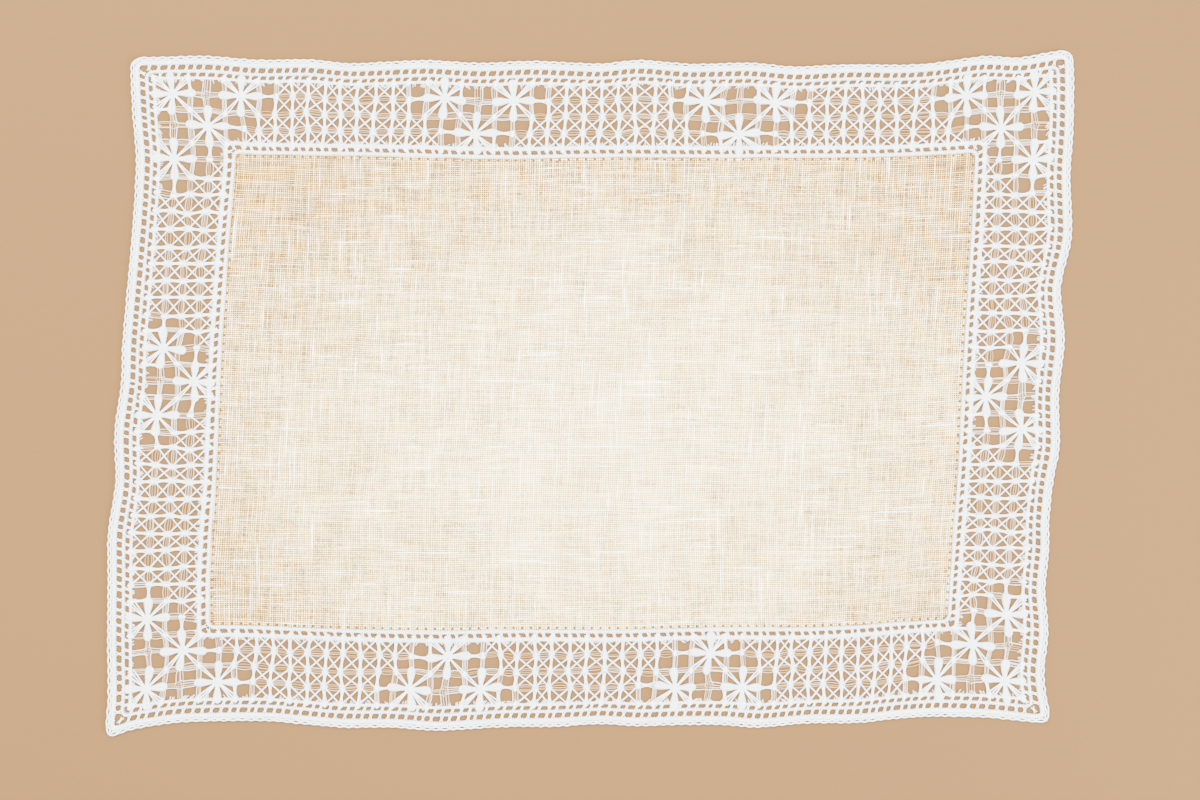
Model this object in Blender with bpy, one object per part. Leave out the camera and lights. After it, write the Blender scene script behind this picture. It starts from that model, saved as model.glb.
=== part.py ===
"""Linen table mat with a wide openwork lace border, as the five flat pieces that are sewn together.

The border is worked on a grid of square threads, COLUMNS by ROWS cells, and is BAND cells wide. Every
place is first named on that grid: column from the left, row from the top, both in cells. The function
lay() then gives where it lies on the table, with the mat's lean, its waves and its pulled corners.
"""

import bpy
import numpy as np

NAME = "bobbin_lace_mat"

# The lace grid, in metres and cells.
PITCH_X = 0.00826
PITCH_Y = 0.00806
COLUMNS = 52
ROWS = 37
BAND = 4
LEAN = 0.0364            # sideways shift for each metre up the mat

# Depths, in cells inwards from the lace grid's outermost line.
EDGE = -1.05             # the mat's outer edge
EDGE_INNER = -0.66       # crocheted edge meets the outer ladder
NET_OUTER = 0.22         # outer ladder meets the net
NET_INNER = 4.04         # net meets the inner ladder
FOOTING = 4.2            # row of holes in the inner ladder
LINEN = 4.52             # inner ladder meets the linen
FADE = 6.0               # the waves die out in the linen over this many cells

# Thicknesses, in metres, and the gap between sewn neighbours.
CLOTH = 0.001            # linen and lace
CROCHET = 0.0018         # the crocheted edge
SEAM = 0.0003
SEAM_ROOM = SEAM / 2.0 / PITCH_Y   # half of it, in cells

# Points along each side of a frame and round each of its corners.
LONG_STEPS = 30
SHORT_STEPS = 22
CORNER_STEPS = 4
EDGE_CORNER = 0.5        # corner radius of the mat's edge, in cells
INNER_CORNER = 0.35      # corner radius of every inner seam, in cells

# Holes, in cells.
OPEN_REACH = 0.335       # half the width of an open cell's hole
OPEN_CUT = 0.13          # how much of its corners is rounded away
GROUND_REACH = 0.8       # half the diagonal of a lozenge in the crossed ground
GROUND_STEP = 2          # the lozenges stand on every second crossing

# How the mat lies, a row for each bend of a side. Station is in cells from the left or from the top.
# The other columns are millimetres: outer and inner are pushes away from the middle, at the mat's
# edge and at the linen's, and along is a shift along the side, to the right or up.
TOP = (
    # station, outer, inner, along
    (-1, 2.4, 2.4, 0.0), (0, 2.4, 2.4, 0.0), (3, 3.1, 1.6, 0.0), (6, 0.9, 0.3, 0.2),
    (9, 1.5, 0.5, -0.5), (11.5, -0.9, 0.4, -1.2), (16, 1.1, -0.4, -2.0), (19, -0.6, -1.2, -1.9),
    (22, 0.7, -1.2, -1.0), (26, -1.0, -0.5, -0.6), (28, 1.4, -0.5, -0.5), (31, -1.1, -0.8, -0.2),
    (34.5, -0.1, -0.7, 0.1), (37, -2.5, -0.5, 0.2), (40.5, -0.9, -0.5, 0.3), (43, -1.6, -0.4, 0.4),
    (45, -0.6, -0.2, 0.5), (48, 3.2, 0.6, 0.2), (50, 1.6, 1.2, 0.0), (52, 5.3, 1.6, 0.0),
    (53, 6.2, 1.6, 0.0),
)
BOTTOM = (
    (-1.2, 9.8, 0.0, 0.0), (0.2, 3.9, 0.0, 0.0), (3, 0.1, -0.8, 0.0), (6, -0.5, -1.3, 1.0),
    (8, -0.5, -0.6, 1.0), (12, 2.8, 0.6, 1.2), (15, 2.6, 1.3, 1.3), (17.5, 4.4, 1.6, 1.5),
    (21.5, 2.3, 0.9, 2.0), (24, 2.4, 0.9, 2.1), (27, 0.8, 1.1, 2.2), (29, 2.2, 0.9, 2.5),
    (31.5, 1.3, 0.2, 2.8), (34, 1.3, 0.0, 3.0), (36, 3.0, 0.0, 2.2), (39, 0.5, 0.0, 1.0),
    (42, 0.6, -1.2, 0.0), (44.5, -1.6, -2.2, 0.0), (47, -2.8, -3.0, 0.0), (50, -2.0, -2.2, 0.0),
    (52, 0.2, -1.5, 0.0), (53, 1.0, -1.5, 0.0),
)
LEFT = (
    (-1, 2.7, 0.0, 0.0), (0, 2.3, 0.0, 0.0), (3, 0.2, -2.0, 0.6), (5, -2.1, -3.5, 0.8),
    (8, -1.6, -2.0, 0.8), (12, 0.0, -0.8, 0.8), (16, 1.7, 0.3, 1.0), (18, 1.1, 0.5, 1.2),
    (21, 4.1, 0.5, 1.4), (24, 2.2, 0.7, 1.0), (27, 5.5, 1.8, 0.8), (30, 4.4, 2.3, 0.4),
    (33, 3.8, 1.5, 0.0), (36, 2.4, 1.5, 0.0), (38.4, 3.9, 1.5, 0.0),
)
RIGHT = (
    (-1, 0.5, 0.5, 0.0), (0, 1.4, 0.5, 0.4), (3, 2.2, 1.2, 1.2), (6, 1.2, 1.5, 1.7),
    (9.5, 3.6, 1.1, 1.6), (12.5, -1.9, 0.4, 1.5), (15.5, 1.8, -0.2, 1.5), (19, -0.5, -0.6, 1.7),
    (22, 1.4, -0.9, 1.8), (24, -1.7, -1.3, 1.7), (26.5, -2.9, -2.1, 1.6), (28, -2.0, -2.6, 1.6),
    (30.5, -3.8, -3.3, 1.5), (33, -0.8, -3.8, 1.2), (35.3, -2.9, -3.7, 0.6), (36.6, -1.0, -3.7, 0.2),
    (38, 2.2, -3.7, 0.0),
)
MILLIMETRE = 0.001
EASE = 0.7               # bends are eased over this many cells each way


def wave(table, station, column):
    """Read one column of a side's table at a station, with its bends eased, in metres."""
    rows = np.array(table)
    near = [np.interp(station + step, rows[:, 0], rows[:, column]) for step in (-EASE, 0.0, EASE)]
    return MILLIMETRE * (near[0] + 2.0 * near[1] + near[2]) / 4.0


def side_shift(table, station, depth):
    """Push outwards and shift along that one side gives a point at a station and a depth."""
    outer, inner, along = (wave(table, station, column) for column in (1, 2, 3))
    out = (FOOTING - depth) / (FOOTING - EDGE)
    fade = np.clip(1.0 - (depth - FOOTING) / FADE, 0.0, 1.0)
    push = np.where(out > 0.0, inner + (outer - inner) * out, inner * fade)
    return push, along * fade


def lay_loose(column, row):
    """Place of a grid point before the mat is centred: the even grid, its lean, and four sides' waves."""
    x = (column - COLUMNS / 2.0) * PITCH_X
    y = (ROWS / 2.0 - row) * PITCH_Y
    top, top_along = side_shift(TOP, column, row)
    bottom, bottom_along = side_shift(BOTTOM, column, ROWS - row)
    left, left_along = side_shift(LEFT, row, column)
    right, right_along = side_shift(RIGHT, row, COLUMNS - column)
    lean = LEAN * y
    return x + lean + right - left + top_along + bottom_along, y + top - bottom + left_along + right_along


def frame_loop(depth, corner):
    """Grid points of a rectangle with round corners, a given depth inside the lace grid."""
    width, height = COLUMNS - 2.0 * depth, ROWS - 2.0 * depth
    sides = ((0.0, 0.0, 1, 0, LONG_STEPS), (width, 0.0, 0, 1, SHORT_STEPS),
             (width, height, -1, 0, LONG_STEPS), (0.0, height, 0, -1, SHORT_STEPS))
    points = []
    for start_c, start_r, step_c, step_r, steps in sides:
        length = width if step_c else height
        run = np.linspace(corner, length - corner, steps)
        points += [(start_c + step_c * s, start_r + step_r * s) for s in run]
        middle_c = start_c + step_c * (length - corner) - step_r * corner
        middle_r = start_r + step_r * (length - corner) + step_c * corner
        for turn in np.linspace(0.0, np.pi / 2.0, CORNER_STEPS + 1)[1:-1]:
            out_c = step_c * np.sin(turn) + step_r * np.cos(turn)
            out_r = step_r * np.sin(turn) - step_c * np.cos(turn)
            points.append((middle_c + corner * out_c, middle_r + corner * out_r))
    return np.array(points) + depth


def middle():
    """Centre of the box round the laid mat."""
    outline = frame_loop(EDGE, EDGE_CORNER)
    x, y = lay_loose(outline[:, 0], outline[:, 1])
    return (x.min() + x.max()) / 2.0, (y.min() + y.max()) / 2.0


def lay(points):
    """Where grid points lie on the table, in metres, with the mat's box centred on the origin."""
    x, y = lay_loose(points[:, 0], points[:, 1])
    middle_x, middle_y = middle()
    return np.column_stack((x - middle_x, y - middle_y))


def net_line(line, lines):
    """Grid place of a net line: the band's lines are drawn in a little between its two ladders."""
    return np.interp(line, (0, BAND, lines - BAND, lines),
                     (NET_OUTER, NET_INNER, lines - NET_INNER, lines - NET_OUTER))


def flowers():
    """Net crossings that carry a flower: four at each corner and groups of three along the sides."""
    corner = ((1, 1), (5, 1), (3, 3), (1, 5))
    places = list(corner) + [(COLUMNS - c, r) for c, r in corner]
    places += [(c, ROWS - r) for c, r in corner] + [(COLUMNS - c, ROWS - r) for c, r in corner]
    group = ((0, 1), (2, 3), (4, 1))
    for start in (17, 32):
        places += [(start + along, depth) for along, depth in group]
    for start in (16, 31):
        places += [(start + along, ROWS - depth) for along, depth in group]
    places += [(depth, 16 + along) for along, depth in group]
    places += [(COLUMNS - depth, 17 + along) for along, depth in group]
    return places


def in_band(cell):
    """Whether a cell belongs to the lace border."""
    column, row = cell
    inside = 0 <= column < COLUMNS and 0 <= row < ROWS
    return inside and (min(column, COLUMNS - 1 - column) < BAND or min(row, ROWS - 1 - row) < BAND)


def cells_round(column, row):
    """The four cells that meet at a net crossing."""
    return {(column - 1, row - 1), (column, row - 1), (column - 1, row), (column, row)}


def open_and_rayed_cells():
    """The open cells, two beyond the tip of each petal, and the cells that the flowers' rays cross."""
    rayed = set().union(*(cells_round(*place) for place in flowers()))
    beyond = set()
    for column, row in flowers():
        for step_c, step_r in ((1, 0), (-1, 0), (0, 1), (0, -1)):
            tip = cells_round(column + step_c, row + step_r)
            beyond |= tip - cells_round(column, row)
    return {cell for cell in beyond - rayed if in_band(cell)}, rayed


def open_hole(cell):
    """Eight grid points round an open cell's hole."""
    reach, cut = OPEN_REACH, OPEN_REACH - OPEN_CUT
    ring = ((reach, cut), (cut, reach), (-cut, reach), (-reach, cut),
            (-reach, -cut), (-cut, -reach), (cut, -reach), (reach, -cut))
    column = net_line(cell[0] + 0.5, COLUMNS)
    row = net_line(cell[1] + 0.5, ROWS)
    return np.array([(column + c, row + r) for c, r in ring])


def ground_hole(column, row):
    """Four grid points round a lozenge of the crossed ground."""
    reach = GROUND_REACH
    corners = ((reach, 0), (0, reach), (-reach, 0), (0, -reach))
    return np.array([(net_line(column + c, COLUMNS), net_line(row + r, ROWS)) for c, r in corners])


def net_holes():
    """Every hole of the net: all open cells, and lozenges where four ground cells meet."""
    opened, rayed = open_and_rayed_cells()
    holes = [open_hole(cell) for cell in sorted(opened)]
    for column in range(1, COLUMNS):
        for row in range(1, ROWS):
            plain = all(in_band(cell) and cell not in opened | rayed for cell in cells_round(column, row))
            if plain and (column + row) % GROUND_STEP == 0:
                holes.append(ground_hole(column, row))
    return holes


def material(name, colour, roughness):
    """A plain cloth material."""
    made = bpy.data.materials.new(name)
    made.use_nodes = True
    shader = made.node_tree.nodes["Principled BSDF"]
    shader.inputs["Base Color"].default_value = (*colour, 1.0)
    shader.inputs["Roughness"].default_value = roughness
    shader.inputs["Metallic"].default_value = 0.0
    return made


def sheet(name, loops, thickness, finish, collection):
    """A flat piece with the first loop as its outline and the others as its holes, resting on z = 0."""
    curve = bpy.data.curves.new(name, "CURVE")
    curve.dimensions = "2D"
    curve.fill_mode = "BOTH"
    curve.extrude = thickness / 2.0
    for loop in loops:
        spline = curve.splines.new("POLY")
        spline.points.add(len(loop) - 1)
        flat = np.column_stack((loop, np.zeros(len(loop)), np.ones(len(loop))))
        spline.points.foreach_set("co", flat.ravel())
        spline.use_cyclic_u = True
    curve.materials.append(finish)
    piece = bpy.data.objects.new(name, curve)
    piece.location.z = thickness / 2.0
    collection.objects.link(piece)
    return piece


def frame(name, outer, inner, corner, thickness, finish, collection, holes=()):
    """A frame between two depths, with half a seam's room left at each of them."""
    loops = [frame_loop(outer + SEAM_ROOM, corner), frame_loop(inner - SEAM_ROOM, INNER_CORNER), *holes]
    return sheet(name, [lay(loop) for loop in loops], thickness, finish, collection)


def main():
    """Clear the scene and build the five pieces."""
    for old in list(bpy.data.objects):
        bpy.data.objects.remove(old, do_unlink=True)
    collection = bpy.data.collections.new(NAME)
    bpy.context.scene.collection.children.link(collection)

    linen = material("linen", (0.83, 0.78, 0.69), 0.9)
    cotton = material("lace_cotton", (0.88, 0.88, 0.87), 0.85)

    panel = lay(frame_loop(LINEN + SEAM_ROOM, INNER_CORNER))
    sheet("linen_panel", [panel], CLOTH, linen, collection)
    frame("inner_ladder", NET_INNER, LINEN, INNER_CORNER, CLOTH, cotton, collection)
    frame("lace_net", NET_OUTER, NET_INNER, INNER_CORNER, CLOTH, cotton, collection, net_holes())
    frame("outer_ladder", EDGE_INNER, NET_OUTER, INNER_CORNER, CLOTH, cotton, collection)
    frame("crochet_edge", EDGE, EDGE_INNER, EDGE_CORNER, CROCHET, cotton, collection)


main()
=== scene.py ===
"""Linen mat with a wide openwork lace border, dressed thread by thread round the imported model.

Every place is named on the border's own grid, column from the left and row from the top, in cells.
place() gives where that is on the table, with the mat's lean, its waves and its pulled corners.
"""

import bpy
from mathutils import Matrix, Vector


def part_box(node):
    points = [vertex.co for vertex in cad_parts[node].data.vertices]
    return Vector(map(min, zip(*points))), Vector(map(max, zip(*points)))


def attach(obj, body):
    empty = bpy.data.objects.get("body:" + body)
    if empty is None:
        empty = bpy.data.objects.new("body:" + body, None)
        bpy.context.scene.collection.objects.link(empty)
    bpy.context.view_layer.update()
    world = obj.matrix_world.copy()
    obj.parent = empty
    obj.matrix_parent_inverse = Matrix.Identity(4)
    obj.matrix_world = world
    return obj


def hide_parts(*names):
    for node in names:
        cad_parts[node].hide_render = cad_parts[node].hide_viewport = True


bl_info = {
    "name": "Bobbin Lace Mat",
    "version": (1, 0, 0),
    "blender": (4, 5, 0),
    "location": "View3D > Sidebar > Lace Mat",
    "description": "Builds a linen mat with a wide openwork lace border, thread by thread",
    "category": "Object",
}

from functools import partial

import bpy
import numpy as np

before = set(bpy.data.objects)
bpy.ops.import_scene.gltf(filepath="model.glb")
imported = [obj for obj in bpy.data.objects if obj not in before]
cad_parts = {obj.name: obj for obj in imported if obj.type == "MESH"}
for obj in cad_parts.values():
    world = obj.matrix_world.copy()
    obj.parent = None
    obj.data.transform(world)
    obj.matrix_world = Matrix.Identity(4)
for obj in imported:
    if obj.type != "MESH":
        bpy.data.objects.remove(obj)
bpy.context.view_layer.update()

MM = 0.001
TINY = 1e-12             # keeps a length that is divided by from being nothing
UP = np.array((0.0, 0.0, 1.0))

# The lace grid, in metres and cells.
PITCH_X = 0.00826
PITCH_Y = 0.00806
CELL = (PITCH_X + PITCH_Y) / 2.0
COLUMNS = 52
ROWS = 37
BAND = 4
LEAN = 0.0364            # sideways shift for each metre up the mat

# Depths, in cells inwards from the lace grid's outermost line.
EDGE = -1.05             # the mat's outer edge
CHAIN = -0.93            # the chain worked along it
OUTER_HOLES = -0.4       # the outer ladder's two rows of holes
INNER_HOLES = 0.04
NET_OUTER = 0.22         # outer ladder meets the net
NET_INNER = 4.04         # net meets the inner ladder
FOOTING = 4.2            # row of holes in the inner ladder
LINEN = 4.52             # inner ladder meets the linen
PIN_HOLES = 4.64         # row of pin holes that the sewing needle leaves in the linen
FADE = 6.0               # the waves die out in the linen over this many cells
HOLES_A_CELL = 2         # ladder holes for each cell of the net

# Corner radii, in cells.
EDGE_CORNER = 0.5        # of the mat's outer edge
OUTER_CORNER = 0.4       # of the chain, and of the outer ladder's outer rows
RIM_CORNER = 0.3         # of the crocheted rim's middle
INNER_CORNER = 0.35      # of every row inside those

# How the mat lies, a row for each bend of a side. Station is in cells from the left or from the top.
# The other columns are millimetres: outer and inner are pushes away from the middle, at the mat's
# edge and at the linen's, and along is a shift along the side, to the right or up.
TOP = (
    # station, outer, inner, along
    (-1, 2.4, 2.4, 0.0), (0, 2.4, 2.4, 0.0), (3, 3.1, 1.6, 0.0), (6, 0.9, 0.3, 0.2),
    (9, 1.5, 0.5, -0.5), (11.5, -0.9, 0.4, -1.2), (16, 1.1, -0.4, -2.0), (19, -0.6, -1.2, -1.9),
    (22, 0.7, -1.2, -1.0), (26, -1.0, -0.5, -0.6), (28, 1.4, -0.5, -0.5), (31, -1.1, -0.8, -0.2),
    (34.5, -0.1, -0.7, 0.1), (37, -2.5, -0.5, 0.2), (40.5, -0.9, -0.5, 0.3), (43, -1.6, -0.4, 0.4),
    (45, -0.6, -0.2, 0.5), (48, 3.2, 0.6, 0.2), (50, 1.6, 1.2, 0.0), (52, 5.3, 1.6, 0.0),
    (53, 6.2, 1.6, 0.0),
)
BOTTOM = (
    (-1.2, 9.8, 0.0, 0.0), (0.2, 3.9, 0.0, 0.0), (3, 0.1, -0.8, 0.0), (6, -0.5, -1.3, 1.0),
    (8, -0.5, -0.6, 1.0), (12, 2.8, 0.6, 1.2), (15, 2.6, 1.3, 1.3), (17.5, 4.4, 1.6, 1.5),
    (21.5, 2.3, 0.9, 2.0), (24, 2.4, 0.9, 2.1), (27, 0.8, 1.1, 2.2), (29, 2.2, 0.9, 2.5),
    (31.5, 1.3, 0.2, 2.8), (34, 1.3, 0.0, 3.0), (36, 3.0, 0.0, 2.2), (39, 0.5, 0.0, 1.0),
    (42, 0.6, -1.2, 0.0), (44.5, -1.6, -2.2, 0.0), (47, -2.8, -3.0, 0.0), (50, -2.0, -2.2, 0.0),
    (52, 0.2, -1.5, 0.0), (53, 1.0, -1.5, 0.0),
)
LEFT = (
    (-1, 2.7, 0.0, 0.0), (0, 2.3, 0.0, 0.0), (3, 0.2, -2.0, 0.6), (5, -2.1, -3.5, 0.8),
    (8, -1.6, -2.0, 0.8), (12, 0.0, -0.8, 0.8), (16, 1.7, 0.3, 1.0), (18, 1.1, 0.5, 1.2),
    (21, 4.1, 0.5, 1.4), (24, 2.2, 0.7, 1.0), (27, 5.5, 1.8, 0.8), (30, 4.4, 2.3, 0.4),
    (33, 3.8, 1.5, 0.0), (36, 2.4, 1.5, 0.0), (38.4, 3.9, 1.5, 0.0),
)
RIGHT = (
    (-1, 0.5, 0.5, 0.0), (0, 1.4, 0.5, 0.4), (3, 2.2, 1.2, 1.2), (6, 1.2, 1.5, 1.7),
    (9.5, 3.6, 1.1, 1.6), (12.5, -1.9, 0.4, 1.5), (15.5, 1.8, -0.2, 1.5), (19, -0.5, -0.6, 1.7),
    (22, 1.4, -0.9, 1.8), (24, -1.7, -1.3, 1.7), (26.5, -2.9, -2.1, 1.6), (28, -2.0, -2.6, 1.6),
    (30.5, -3.8, -3.3, 1.5), (33, -0.8, -3.8, 1.2), (35.3, -2.9, -3.7, 0.6), (36.6, -1.0, -3.7, 0.2),
    (38, 2.2, -3.7, 0.0),
)
EASE = 0.7               # bends are eased over this many cells each way

# Handwork. A range is how much smaller or larger than its own size a thing may be.
THREAD_RANGE = (0.85, 1.15)  # a thread's thickness
STITCH_RANGE = (0.9, 1.1)    # a stitch's thickness
REACH_RANGE = (0.8, 1.2)     # a stitch's rise, a fan's spread and a link's gap
FLATNESS = 0.85          # a thread's height, of its width
TAPER = 0.75             # a stitch thins towards its ends by sqrt(1 - (TAPER * t)^2)
WRAPPED = 0.4            # share of the edges between rays and a ladder that are wrapped
CLOTH_POINTS = (122, 77)  # points of the linen's mesh across and down, 3 mm apart

# Seeds of the small errors of handwork. Each piece draws its own, the same in every run.
SEEDS = {"crossings": 5, "ground": 11, "diagonals": 23, "flowers": 37, "heading": 41, "footing": 43,
         "edge": 47}


def linear(colour):
    """An sRGB hex colour as linear red, green and blue. In the dark it is c / 12.92, and above that
    ((c + 0.055) / 1.055) ^ 2.4."""
    parts = (int(colour[i:i + 2], 16) / 255.0 for i in (1, 3, 5))
    return tuple(c / 12.92 if c <= 0.04045 else ((c + 0.055) / 1.055) ** 2.4 for c in parts)


# --- Where a grid place lies on the table ---


def wave(table, station, column):
    """One column of a side's table at each station, in metres: the mean of the bent line at the station
    and EASE before and after it, the station itself counted twice."""
    rows = np.array(table)
    near = [np.interp(station + step, rows[:, 0], rows[:, column]) for step in (-EASE, 0.0, EASE)]
    return MM * (near[0] + 2.0 * near[1] + near[2]) / 4.0


def side_shift(table, station, depth):
    """Outward push and shift along from one side. The push goes from inner at the footing to outer at the
    edge in a straight line, and fades to nothing inside the linen."""
    outer, inner, along = (wave(table, station, column) for column in (1, 2, 3))
    out = (FOOTING - depth) / (FOOTING - EDGE)
    fade = np.clip(1.0 - (depth - FOOTING) / FADE, 0.0, 1.0)
    push = np.where(out > 0.0, inner + (outer - inner) * out, inner * fade)
    return push, along * fade


def place_loose(column, row):
    """x and y of grid places before the mat is centred: even grid + lean + the four sides' waves."""
    x = (column - COLUMNS / 2.0) * PITCH_X
    y = (ROWS / 2.0 - row) * PITCH_Y
    top, top_along = side_shift(TOP, column, row)
    bottom, bottom_along = side_shift(BOTTOM, column, ROWS - row)
    left, left_along = side_shift(LEFT, row, column)
    right, right_along = side_shift(RIGHT, row, COLUMNS - column)
    lean = LEAN * y
    x = x + lean + right - left + top_along + bottom_along
    return x, y + top - bottom + left_along + right_along


def net_line(line, lines):
    """Grid place of a net line: the band's lines are drawn in a little between its two ladders."""
    return np.interp(line, (0, BAND, lines - BAND, lines),
                     (NET_OUTER, NET_INNER, lines - NET_INNER, lines - NET_OUTER))


def ring(depth, corner, pitch):
    """Even places round a rectangle with round corners, as grid points and outward normals.
    Dense corner arcs and the straights between them are measured, then read at equal lengths."""
    width, height = COLUMNS - 2.0 * depth, ROWS - 2.0 * depth
    turns = np.linspace(0.0, np.pi / 2.0, 9)
    right, bottom = width - corner, height - corner
    points, normals = [], []
    for quarter, centre in enumerate(((right, corner), (right, bottom), (corner, bottom), (corner, corner))):
        angle = turns + (quarter - 1) * np.pi / 2.0
        normal = np.column_stack((np.cos(angle), np.sin(angle)))
        points.append(np.array(centre) + corner * normal)
        normals.append(normal)
    points, normals = np.vstack(points), np.vstack(normals)
    points, normals = np.vstack((points, points[:1])) + depth, np.vstack((normals, normals[:1]))
    length = np.concatenate(((0.0,), np.cumsum(np.linalg.norm(np.diff(points, axis=0), axis=1))))
    count = int(round(length[-1] / pitch))
    at = np.arange(count) / count * length[-1]
    spot = np.column_stack([np.interp(at, length, points[:, i]) for i in (0, 1)])
    facing = np.column_stack([np.interp(at, length, normals[:, i]) for i in (0, 1)])
    return spot, facing / np.linalg.norm(facing, axis=1, keepdims=True)


def middle():
    """Centre of the laid mat's box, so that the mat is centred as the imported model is."""
    outline, _ = ring(EDGE, EDGE_CORNER, pitch=0.25)
    x, y = place_loose(outline[:, 0], outline[:, 1])
    lo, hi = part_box("crochet_edge")
    return (x.min() + x.max() - lo.x - hi.x) / 2.0, (y.min() + y.max() - lo.y - hi.y) / 2.0


MIDDLE = middle()


def place(grid, height):
    """Points on the table for grid places (..., 2) at heights, in metres."""
    x, y = place_loose(grid[..., 0], grid[..., 1])
    return np.stack((x - MIDDLE[0], y - MIDDLE[1], np.broadcast_to(height, x.shape)), axis=-1)


# --- The pattern of the net ---


def flower_places():
    """Net crossings that carry a flower: four at each corner and groups of three along the sides."""
    corner = ((1, 1), (5, 1), (3, 3), (1, 5))
    places = list(corner) + [(COLUMNS - c, r) for c, r in corner]
    places += [(c, ROWS - r) for c, r in corner] + [(COLUMNS - c, ROWS - r) for c, r in corner]
    group = ((0, 1), (2, 3), (4, 1))
    for start in (17, 32):
        places += [(start + along, depth) for along, depth in group]
    for start in (16, 31):
        places += [(start + along, ROWS - depth) for along, depth in group]
    places += [(depth, 16 + along) for along, depth in group]
    places += [(COLUMNS - depth, 17 + along) for along, depth in group]
    return places


FLOWERS = flower_places()
STEPS = ((1, 0), (0, 1), (-1, 0), (0, -1))
SLANTS = ((1, 1), (-1, 1), (-1, -1), (1, -1))

# The crossings that petals reach.
TIPS = {(column + right, row + down) for column, row in FLOWERS for right, down in STEPS}


def in_band(cell):
    """Whether a cell belongs to the lace border."""
    column, row = cell
    inside = 0 <= column < COLUMNS and 0 <= row < ROWS
    return inside and (min(column, COLUMNS - 1 - column) < BAND or min(row, ROWS - 1 - row) < BAND)


def cells_round(column, row):
    """The four cells that meet at a net crossing."""
    return {(column - 1, row - 1), (column, row - 1), (column - 1, row), (column, row)}


def cell_kinds():
    """Each cell of the band by kind: rayed where a flower's rays cross it, open beyond the tips of the
    petals, and ground elsewhere."""
    rayed = set().union(*(cells_round(*flower) for flower in FLOWERS))
    opened = set()
    for column, row in FLOWERS:
        for step_c, step_r in STEPS:
            opened |= cells_round(column + step_c, row + step_r) - cells_round(column, row)
    kinds = {}
    for column in range(COLUMNS):
        for row in range(ROWS):
            cell = (column, row)
            if in_band(cell):
                kinds[cell] = "rayed" if cell in rayed else "open" if cell in opened else "ground"
    return kinds


KINDS = cell_kinds()


def is_bare(node):
    """Whether all four cells at a crossing are open."""
    return all(KINDS.get(cell) == "open" for cell in cells_round(*node))


def is_at_ladder(node):
    """Whether a crossing lies on one of the band's two edges."""
    return any(cell not in KINDS for cell in cells_round(*node))


def crossings(uneven):
    """Grid places of all net crossings, each off its even place by a normal error of uneven, at most twice
    that. The crossings on the band's two edges slip along the ladder, and a quarter as far across it."""
    rng = np.random.default_rng(SEEDS["crossings"])
    columns, rows = np.meshgrid(np.arange(COLUMNS + 1), np.arange(ROWS + 1), indexing="ij")
    even = np.stack((net_line(columns, COLUMNS), net_line(rows, ROWS)), axis=-1)
    slip = rng.normal(0.0, uneven / CELL, even.shape).clip(-2.0 * uneven / CELL, 2.0 * uneven / CELL)
    for axis, line, lines in ((0, columns, COLUMNS), (1, rows, ROWS)):
        on_edge = np.isin(line, (0, BAND, lines - BAND, lines))
        slip[..., axis] = np.where(on_edge, 0.25 * slip[..., axis], slip[..., axis])
    return even + slip


def runs_across(cell):
    """Whether the border's long threads run left to right at this cell, as in its top and bottom."""
    return min(cell[1], ROWS - 1 - cell[1]) < BAND


def net_edges(rng):
    """The net's threads between neighbouring crossings, sorted by how they are worked. Along the border
    they are a fine bundle, but between two open cells a wrapped bar, or loose at a bare crossing. Across
    it they are a bar, but loose between two open cells, and beside one open cell at a ladder. Beside rays
    they are loose both ways, but some that end at a ladder are wrapped. An edge at a flower's own crossing
    is left to its petal."""
    flowers = set(FLOWERS)
    found = {"bundle": [], "bar": [], "loose": []}
    for column in range(COLUMNS + 1):
        for row in range(ROWS + 1):
            for end, cells in (((column + 1, row), ((column, row - 1), (column, row))),
                               ((column, row + 1), ((column - 1, row), (column, row)))):
                kinds = [KINDS.get(cell) for cell in cells]
                if None in kinds or (column, row) in flowers or end in flowers:
                    continue
                bare = is_bare((column, row)) or is_bare(end)
                at_ladder = is_at_ladder((column, row)) or is_at_ladder(end)
                along = (end[1] == row) == runs_across(cells[1])
                if "rayed" in kinds:
                    how = "bar" if at_ladder and rng.random() < WRAPPED else "loose"
                elif kinds == ["open", "open"]:
                    how = "bar" if along and not bare else "loose"
                elif along:
                    how = "bundle"
                else:
                    how = "loose" if "open" in kinds and at_ladder else "bar"
                found[how].append(((column, row), end))
    return found


# --- Strands: every thread, stitch and petal is a closed tube of oval section ---


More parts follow.
